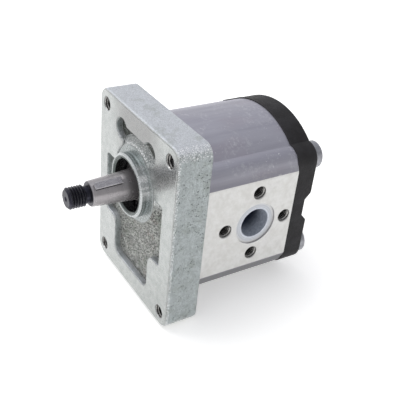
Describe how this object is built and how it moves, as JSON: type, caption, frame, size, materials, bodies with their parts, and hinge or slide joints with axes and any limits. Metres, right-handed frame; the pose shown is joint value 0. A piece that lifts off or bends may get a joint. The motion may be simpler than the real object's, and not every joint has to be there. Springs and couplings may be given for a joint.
{
  "type": "hydraulic gear pump",
  "caption": "External gear pump with a rectangular flange, pilot spigot, 1:8 tapered keyed shaft, side ports and bolted rear cover.",
  "frame": {"origin": "on the input shaft's axis, in the front face of the mounting flange, at the foot of the pilot spigot", "axes": "-Y out along the input shaft, +Y towards the rear cover, +X towards the larger port, +Z from the driven gear to the input shaft"},
  "size_m": [0.0886, 0.1392, 0.113],
  "materials": {
    "zinc_casting": "sand casting with clear zinc plating, turned spigot",
    "extruded_aluminium": "drawn skin with milled port faces",
    "black_casting": "matt black coated casting",
    "ground_steel": "ground and hardened, blackened thread",
    "key_steel": "bright drawn",
    "block_aluminium": "turned",
    "bush_bronze": "bronze bearing lining",
    "black_rubber": "moulded nitrile rubber",
    "white_plastic": "machined polymer strip",
    "seal_steel": "pressed sheet",
    "spring_steel": "phosphated",
    "zinc_steel": "zinc plated"
  },
  "bodies": {
    "housing": {"front_flange": "zinc_casting", "pump_body": "extruded_aluminium", "rear_cover": "black_casting", "front_bushing_block": "block_aluminium", "rear_bushing_block": "block_aluminium", "front_drive_bush": "bush_bronze", "front_driven_bush": "bush_bronze", "rear_drive_bush": "bush_bronze", "rear_driven_bush": "bush_bronze", "front_pressure_seal": "black_rubber", "rear_pressure_seal": "black_rubber", "front_backup_ring": "white_plastic", "rear_backup_ring": "white_plastic", "front_body_seal": "black_rubber", "rear_body_seal": "black_rubber", "shaft_seal_case": "seal_steel", "shaft_seal_lip": "black_rubber", "garter_spring": "spring_steel", "seal_circlip": "spring_steel", "assembly_bolts": "zinc_steel", "dowel_pins": "key_steel"},
    "drive_rotor": {"drive_gear_shaft": "ground_steel", "woodruff_key": "key_steel"},
    "driven_rotor": {"driven_gear_shaft": "ground_steel"}
  },
  "joints": [
    {"name": "drive_shaft_turn", "type": "hinge", "parent": "housing", "child": "drive_rotor", "pos_m": [0, 0, 0], "axis": [0, -1, 0], "continuous": true},
    {"name": "driven_gear_turn", "type": "hinge", "parent": "housing", "child": "driven_rotor", "pos_m": [0, 0, -0.0312], "axis": [0, -1, 0], "continuous": true}
  ],
  "couplings": [
    {"joint": "driven_gear_turn", "follows": "drive_shaft_turn", "ratio": -1}
  ]
}
